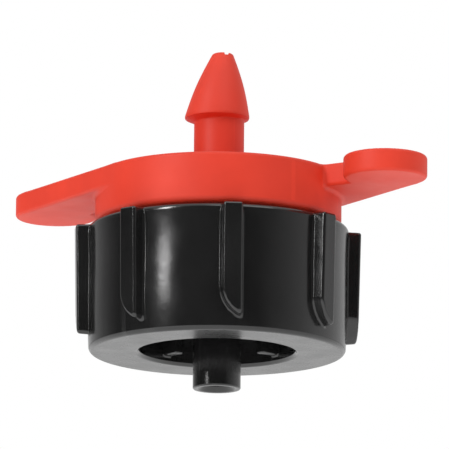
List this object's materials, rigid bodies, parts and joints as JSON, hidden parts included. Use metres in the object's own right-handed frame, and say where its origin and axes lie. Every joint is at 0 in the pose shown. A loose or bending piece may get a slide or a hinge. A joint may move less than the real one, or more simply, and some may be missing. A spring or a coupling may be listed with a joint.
{
  "type": "drip emitter",
  "caption": "Take-apart pressure-compensating drip emitter: barbed inlet on a winged flange, ribbed screw cap with a recessed outlet nipple.",
  "frame": {"origin": "on the barb's axis, at the root of its stem, in the plane of the flange's top face", "axes": "+Z along the barb, away from the flange; +X towards the ear at the right; the outlet nipple points along -Z"},
  "size_m": [0.0328, 0.0232, 0.0273],
  "materials": {
    "red_plastic": "moulded acetal, satin gloss",
    "black_plastic": "moulded polypropylene, glossy",
    "white_plastic": "moulded acetal, satin",
    "natural_plastic": "moulded polypropylene, natural",
    "silicone": "moulded silicone, matt",
    "seal_rubber": "moulded rubber, matt"
  },
  "bodies": {
    "base": {"base": "red_plastic", "inlet_filter": "natural_plastic"},
    "insert": {"labyrinth_disc": "white_plastic", "seal_ring": "seal_rubber"},
    "membrane": {"diaphragm": "silicone"},
    "cap": {"cap": "black_plastic"}
  },
  "joints": [
    {"name": "insert_drop", "type": "slide", "parent": "base", "child": "insert", "axis": [0, 0, -1], "range_m": [0, 0.0038]},
    {"name": "cap_turn", "type": "hinge", "parent": "insert", "child": "cap", "pos_m": [0, 0, 0], "axis": [0, 0, -1], "range_deg": [0, 270]},
    {"name": "diaphragm_lift", "type": "slide", "parent": "insert", "child": "membrane", "axis": [0, 0, 1], "range_m": [0, 0.0003]}
  ],
  "couplings": [
    {"joint": "insert_drop", "follows": "cap_turn", "m_per_rad": 0.00079577}
  ]
}
